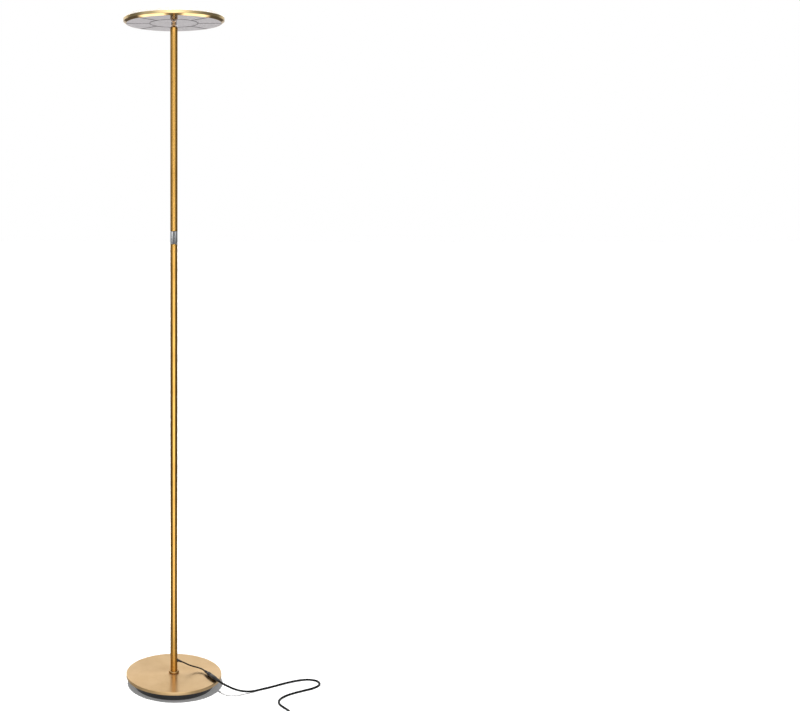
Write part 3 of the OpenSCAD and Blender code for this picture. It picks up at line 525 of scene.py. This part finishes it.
# Above eye level a soft light fills the gap, and the upper tube catches it
between = math_node(tree, "MULTIPLY", spread(tree, way["Z"], 0.03, 0.07),
                    spread(tree, math_node(tree, "ABSOLUTE", bearing), 0.1, 0.4, GAP_LIGHT, 0.0))
panels = math_node(tree, "MAXIMUM", panels, between)
walls = math_node(tree, "MULTIPLY", PANEL_LIGHT, ramp(
    tree, from_back, 360, (0.1, 0.48), (16, 0.48), (24, 1.0), (38, 1.0), (50, 0.11), (125, 0.10),
    (155, 0.8), (205, 0.8), (235, 0.10), (315, 0.11), (330, 0.35), (344, 0.48), (359, 0.48)))
higher = add(tree, "ShaderNodeMix", {0: spread(tree, way["Z"], 0.55, 0.85), 2: walls, 3: CEILING_LIGHT},
             data_type="FLOAT").outputs[0]
mirrored = add(tree, "ShaderNodeMix", {0: spread(tree, way["Z"], 0.20, 0.30), 2: panels, 3: higher},
               data_type="FLOAT").outputs[0]
ray = add(tree, "ShaderNodeLightPath").outputs
plainly = math_node(tree, "MAXIMUM", ray["Is Camera Ray"], ray["Is Transmission Ray"])
plain = add(tree, "ShaderNodeMix", {0: plainly, 2: FILL_LIGHT, 3: PLAIN_LIGHT}, data_type="FLOAT").outputs[0]
by_mirror = math_node(tree, "SUBTRACT", ray["Is Glossy Ray"], ray["Is Transmission Ray"], clamp=True)
strength = add(tree, "ShaderNodeMix", {0: by_mirror, 2: plain, 3: mirrored}, data_type="FLOAT").outputs[0]
tree.links.new(strength, backdrop.inputs["Strength"])

overhead = bpy.data.lights.new("overhead", "SUN")
overhead.energy = 4.2
overhead.angle = math.radians(2.5)
overhead_lamp = bpy.data.objects.new("overhead", overhead)
overhead_lamp.rotation_euler = (math.radians(14), math.radians(-7), 0)
overhead_lamp.visible_glossy = False
scene.collection.objects.link(overhead_lamp)
# The base, the leads and what is on them shade the floor; the tall pole and head don't
shading = bpy.data.collections.new("shading")
for name in ("base_cover", "base_shell", "foot_ring"):
    shading.objects.link(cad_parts[name])
for piece in (thin_lead, supply_lead, lamp_half, supply_half, tie, relief, case, blades):
    shading.objects.link(piece)
overhead_lamp.light_linking.blocker_collection = shading

# --- Spun and brushed metal ---
# The head's rim, the pole and the base cover are brushed in the lathe, so fine lines run round
# the lamp's axis. The grain is drawn from the bearing, the height and the radius.
GRAIN_SHARE, CLOUD_SHARE, GRAIN_BUMP = 0.45, 0.55, 0.18
grain_group, given, out = group("spun grain", {"Lines": 2500, "Streak": 14}, ["Grain", "Cloud"])
place, axes, radius = from_axis(grain_group)
safe_radius = math_node(grain_group, "MAXIMUM", radius, 0.0001)
round_x, round_y = (math_node(grain_group, "MULTIPLY",
                              math_node(grain_group, "DIVIDE", axes[side], safe_radius), given["Streak"])
                    for side in "XY")
across = math_node(grain_group, "MULTIPLY", math_node(grain_group, "ADD", axes["Z"], radius), given["Lines"])
lined = add(grain_group, "ShaderNodeCombineXYZ", {0: round_x, 1: round_y, 2: across}).outputs[0]
lines = add(grain_group, "ShaderNodeTexNoise", {
    "Vector": lined, "Scale": 1.0, "Detail": 3.0, "Roughness": 0.6})
grain_group.links.new(spread(grain_group, lines.outputs[0], 0.28, 0.72), out["Grain"])
cloud = add(grain_group, "ShaderNodeTexNoise", {"Vector": place, "Scale": 14.0, "Detail": 4.0})
grain_group.links.new(spread(grain_group, cloud.outputs[0], 0.35, 0.65), out["Cloud"])


def brushed(name, dark, light, rough, lines, streak, lift, along=0.0):
    """Brushed metal: lines round the axis in its colour, gloss and surface."""
    material, tree, shader = finish(name, Metallic=1.0, Anisotropic=along, Anisotropic_Rotation=0.25)
    grain = use(tree, grain_group, Lines=lines, Streak=streak)
    shade = math_node(tree, "ADD", math_node(tree, "MULTIPLY", grain["Grain"], GRAIN_SHARE),
                      math_node(tree, "MULTIPLY", grain["Cloud"], CLOUD_SHARE))
    tree.links.new(two_colours(tree, shade, dark, light), shader.inputs["Base Color"])
    tree.links.new(spread(tree, shade, 0, 1, rough[1], rough[0]), shader.inputs["Roughness"])
    if along:
        tree.links.new(add(tree, "ShaderNodeTangent", direction_type="RADIAL", axis="Z").outputs[0],
                       shader.inputs["Tangent"])
    bump(tree, shader, grain["Grain"], GRAIN_BUMP, lift)
    return material


# --- Lens, diffusion sheet and light ---
# A 5.5 mm acrylic disc with a polished edge and a frosted top lies on the head's lip. The
# diffusion sheet in its underside glows where the emitters stand below it, and some of their
# light runs along in the acrylic and leaves it at the edge.
lens_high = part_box("lens")[1]
lens_clear, tree, shader = finish("lens acrylic", Transmission_Weight=1.0, IOR=1.49)
_, axes, out_from_axis = from_axis(tree)
on_top = math_node(tree, "MULTIPLY", spread(tree, axes["Z"], lens_high.z - 0.0004, lens_high.z - 0.0001),
                   spread(tree, out_from_axis, lens_high.x - 0.003, lens_high.x - 0.0018, 1.0, 0.0))
tree.links.new(two_colours(tree, on_top, (0.985, 0.98, 0.97), (0.47, 0.43, 0.395)),
               shader.inputs["Base Color"])
frost = use(tree, skin_group, Grain=2600, Mottle=30)
tree.links.new(math_node(tree, "ADD", math_node(tree, "MULTIPLY", on_top,
                                                spread(tree, frost["Patches"], 0, 1, 0.36, 0.44)), 0.03),
               shader.inputs["Roughness"])
edge = math_node(tree, "MULTIPLY", spread(tree, out_from_axis, lens_high.x - 0.0014, lens_high.x - 0.0004),
                 spread(tree, frost["Patches"], 0, 1, 0.75, 1.0))
tree.links.new(two_colours(tree, edge, (0, 0, 0), (1.0, 0.97, 0.92)), shader.inputs["Emission Color"])
shader.inputs["Emission Strength"].default_value = 0.8
bump(tree, shader, math_node(tree, "MULTIPLY", frost["Height"], on_top), 0.2, 0.0001)
paint(lens_clear, "lens")

# Soft round glows at even steps round a ring
glow_group, given, out = group("ring of glows", {"Radius": 0.03, "Count": 12, "Spread": 0.004}, ["Glow"])
_, axes, radius = from_axis(glow_group)
share = math_node(glow_group, "MULTIPLY", math_node(glow_group, "ARCTAN2", axes["Y"], axes["X"]),
                  math_node(glow_group, "DIVIDE", given["Count"], math.tau))
off_angle = math_node(glow_group, "SUBTRACT", math_node(glow_group, "FRACT",
                      math_node(glow_group, "ADD", share, 0.5)), 0.5)
off_round = math_node(glow_group, "MULTIPLY", off_angle, math_node(
    glow_group, "DIVIDE", math_node(glow_group, "MULTIPLY", given["Radius"], math.tau), given["Count"]))
off_out = math_node(glow_group, "SUBTRACT", radius, given["Radius"])
off = math_node(glow_group, "SQRT", math_node(glow_group, "ADD",
                math_node(glow_group, "MULTIPLY", off_round, off_round),
                math_node(glow_group, "MULTIPLY", off_out, off_out)))
near = math_node(glow_group, "DIVIDE", off, given["Spread"])
glow_group.links.new(math_node(glow_group, "EXPONENT", math_node(
    glow_group, "MULTIPLY", math_node(glow_group, "MULTIPLY", near, near), -1.0)), out["Glow"])

sheet, tree, shader = finish("diffusion sheet", Roughness=0.6, Emission_Strength=1.0)
GLOW_RINGS, GLOW_SPREAD = ((0.022, 8), (0.032, 12), (0.042, 16)), 0.0042
glows = [use(tree, glow_group, Radius=ring_radius, Count=count, Spread=GLOW_SPREAD)["Glow"]
         for ring_radius, count in GLOW_RINGS]
glow = math_node(tree, "ADD", glows[0], math_node(tree, "ADD", glows[1], glows[2]))
out_from_axis = from_axis(tree)[2]
halo = math_node(tree, "MULTIPLY", spread(tree, out_from_axis, 0.012, 0.022),
                 spread(tree, out_from_axis, 0.040, 0.062, 1.0, 0.0))
light = math_node(tree, "ADD", math_node(tree, "MULTIPLY", glow, 1.3),
                  math_node(tree, "MULTIPLY", halo, 0.55))
weave = use(tree, skin_group, Grain=1500, Mottle=18)
tree.links.new(two_colours(tree, weave["Patches"], (0.225, 0.198, 0.180), (0.265, 0.232, 0.208)),
               shader.inputs["Base Color"])
tree.links.new(two_colours(tree, math_node(tree, "MULTIPLY", light, 1.0, clamp=True),
                           (0, 0, 0), (1.0, 0.80, 0.56)), shader.inputs["Emission Color"])
bump(tree, shader, weave["Height"], 0.2, 0.0001)
paint(sheet, "diffusion_sheet")

# --- Head pan and trim ring ---
# The pan is spun from aluminium sheet and brushed, with a brass finish. The polished trim ring
# under it closes the head's edge and holds the back plate.
head_brass = brushed("head satin brass", (0.76, 0.56, 0.26), (0.95, 0.77, 0.42), (0.30, 0.42), 3200, 16,
                     0.00003, along=0.8)
paint(head_brass, "head_pan")
polished = brushed("polished brass", (0.70, 0.46, 0.20), (0.84, 0.58, 0.28), (0.05, 0.10), 1500, 10,
                   0.00002)
paint(polished, "trim_ring")

# --- Back plate ---
# A glossy moulded plate with a vacuum-plated grey shine. A ring and eight lines are sunk in it,
# and the fields between them round off softly towards the lines. Painted shade darkens the
# colour in the sunk lines and in a soft band beside them.
back, tree, shader = finish("back plate gloss", Metallic=0.9)
face_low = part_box("back_plate")[0]
RING_LINE, RADIAL_LINES = 0.055, 8
skin = use(tree, skin_group, Grain=160, Mottle=16)
_, axes, out_from_axis = from_axis(tree)
sector = math_node(tree, "MULTIPLY", math_node(tree, "ARCTAN2", axes["Y"], axes["X"]),
                   RADIAL_LINES / math.tau)
off_sector = math_node(tree, "ABSOLUTE", math_node(tree, "SUBTRACT", math_node(
    tree, "FRACT", math_node(tree, "ADD", sector, 0.5)), 0.5))
off_line = math_node(tree, "MULTIPLY", math_node(tree, "MULTIPLY", off_sector, math.tau / RADIAL_LINES),
                     out_from_axis)
within = math_node(tree, "LESS_THAN", out_from_axis, RING_LINE)
off_ring = math_node(tree, "ABSOLUTE", math_node(tree, "SUBTRACT", out_from_axis, RING_LINE))
nearest = math_node(tree, "MINIMUM", off_ring, math_node(tree, "ADD", off_line, within))
edge = spread(tree, nearest, 0.0005, 0.0045)
# Painted shade: the floor of the sunk lines is coloured near black
sunk = spread(tree, axes["Z"], face_low.z + 0.00005, face_low.z + 0.0003)
smooth = two_colours(tree, skin["Patches"], (0.60, 0.54, 0.56), (0.68, 0.62, 0.64))
# Painted shade: the colour darkens in a soft band up to 4.5 mm either side of the lines
shade_near_lines = two_colours(tree, edge, (0.44, 0.39, 0.40), smooth)
tree.links.new(two_colours(tree, sunk, shade_near_lines, (0.11, 0.09, 0.095)), shader.inputs["Base Color"])
tree.links.new(math_node(tree, "ADD", spread(tree, skin["Patches"], 0, 1, 0.03, 0.07),
                         math_node(tree, "MULTIPLY", sunk, 0.4)), shader.inputs["Roughness"])
bump(tree, shader, math_node(tree, "ADD", math_node(tree, "MULTIPLY", skin["Height"], 0.1),
                             math_node(tree, "MULTIPLY", edge, -1.0)), 1.0, 0.00022)
paint(back, "back_plate")

# --- Parts inside the head ---
# The heat spreader and mount plate are cut from sheet, the board is white solder mask over
# aluminium, and the emitters are yellow phosphor under clear resin.
mill = brushed("mill aluminium", (0.55, 0.56, 0.58), (0.75, 0.76, 0.78), (0.30, 0.45), 900, 5, 0.0001)
paint(mill, "heat_spreader")
zinc = brushed("zinc plate", (0.45, 0.45, 0.47), (0.68, 0.68, 0.68), (0.25, 0.42), 1800, 9, 0.0001)
paint(zinc, "board_screws", "lens_screws", "mount_plate", "mount_screws", "tongue_nut", "fork_nut",
      "friction_washers", "upper_bush", "joint_nipple", "lower_bush", "foot_bush", "shell_screws",
      "tie_rod", "rod_washer", "rod_nut")
white_mask = plastic("white solder mask", (0.80, 0.80, 0.78), (0.90, 0.90, 0.88), (0.25, 0.4), 400, 40,
                     0.0001)
paint(white_mask, "led_board")
reflector = plastic("reflector film", (0.84, 0.84, 0.83), (0.93, 0.93, 0.92), (0.5, 0.65), 300, 25, 0.0001)
paint(reflector, "reflector_sheet")
phosphor, tree, shader = finish("phosphor", Roughness=0.3, Emission_Strength=4.0, Coat_Weight=0.6)
speck = use(tree, skin_group, Grain=3000, Mottle=900)
tree.links.new(two_colours(tree, speck["Patches"], (0.95, 0.70, 0.20), (1.0, 0.86, 0.45)),
               shader.inputs["Base Color"])
tree.links.new(two_colours(tree, speck["Patches"], (1.0, 0.74, 0.42), (1.0, 0.84, 0.60)),
               shader.inputs["Emission Color"])
paint(phosphor, "led_chips")
white_wire = plastic("white wire", (0.72, 0.71, 0.68), (0.84, 0.83, 0.80), (0.35, 0.5), 900, 80, 0.0001)
paint(white_wire, "head_wire", "pole_wire")
red_wire = plastic("red wire", (0.42, 0.02, 0.015), (0.60, 0.04, 0.03), (0.35, 0.5), 900, 80, 0.0001)
paint(red_wire, "touch_wire")

# --- Tilt joint ---
# A turned tongue swings between the two cheeks of the fork on a pair of small pivot screws.
tongue = brushed("tongue brass", (0.13, 0.078, 0.034), (0.21, 0.13, 0.06), (0.10, 0.18), 1200, 7, 0.00003)
paint(tongue, "hinge_tongue")
fork = brushed("fork brass", (0.14, 0.088, 0.038), (0.24, 0.155, 0.075), (0.10, 0.18), 1200, 7, 0.00003)
paint(fork, "hinge_fork")

# --- Pole ---
# Two brass tubes, brushed in the lathe, meet at the polished touch ring. Thin black washers
# keep the ring from the tubes. A domed cap closes the top.
pole_brass = brushed("pole satin brass", (0.53, 0.290, 0.066), (0.70, 0.405, 0.106), (0.20, 0.27), 1400, 5,
                     0.000008, along=0.85)
paint(pole_brass, "upper_tube", "lower_tube", "pole_cap")
chrome = brushed("chrome", (0.72, 0.74, 0.76), (0.84, 0.85, 0.86), (0.04, 0.08), 700, 6, 0.00001)
paint(chrome, "touch_ring", "pivot_screws")
nylon = plastic("black nylon", (0.018, 0.018, 0.018), (0.035, 0.034, 0.034), (0.4, 0.55), 900, 60, 0.0002)
paint(nylon, "upper_washer", "ring_core", "lower_washer")
board_green = plastic("green solder mask", (0.012, 0.11, 0.045), (0.03, 0.19, 0.08), (0.2, 0.35), 500, 90,
                      0.0001)
paint(board_green, "dimmer_board")

# --- Base ---
# The spun brass cover is brushed in circles and laid over a cast weight. A moulded black shell
# with ribs closes it from below, on a ring of foam.
cover_brass = brushed("base satin brass", (0.66, 0.435, 0.205), (0.84, 0.585, 0.31), (0.27, 0.38), 3600, 9,
                      0.00003, along=0.8)
paint(cover_brass, "base_cover")
collar = brushed("collar brass", (0.42, 0.245, 0.085), (0.60, 0.37, 0.15), (0.04, 0.09), 1500, 10, 0.00001)
paint(collar, "foot_collar")
iron = plastic("cast iron", (0.06, 0.06, 0.062), (0.12, 0.12, 0.12), (0.55, 0.8), 260, 30, 0.0015)
paint(iron, "base_weight")
shell = plastic("shell black", (0.014, 0.014, 0.015), (0.028, 0.028, 0.029), (0.34, 0.5), 1200, 22, 0.0003)
paint(shell, "base_shell")
foam = plastic("foam", (0.02, 0.02, 0.02), (0.045, 0.045, 0.045), (0.85, 1.0), 1800, 120, 0.0012)
paint(foam, "foot_ring")

# --- Grommet ---
# A soft moulded grommet guards the lead where it leaves the pole.
rubber = plastic("grommet rubber", (0.012, 0.012, 0.012), (0.026, 0.026, 0.026), (0.45, 0.62), 1100, 70,
                 0.0002)
paint(rubber, "grommet")
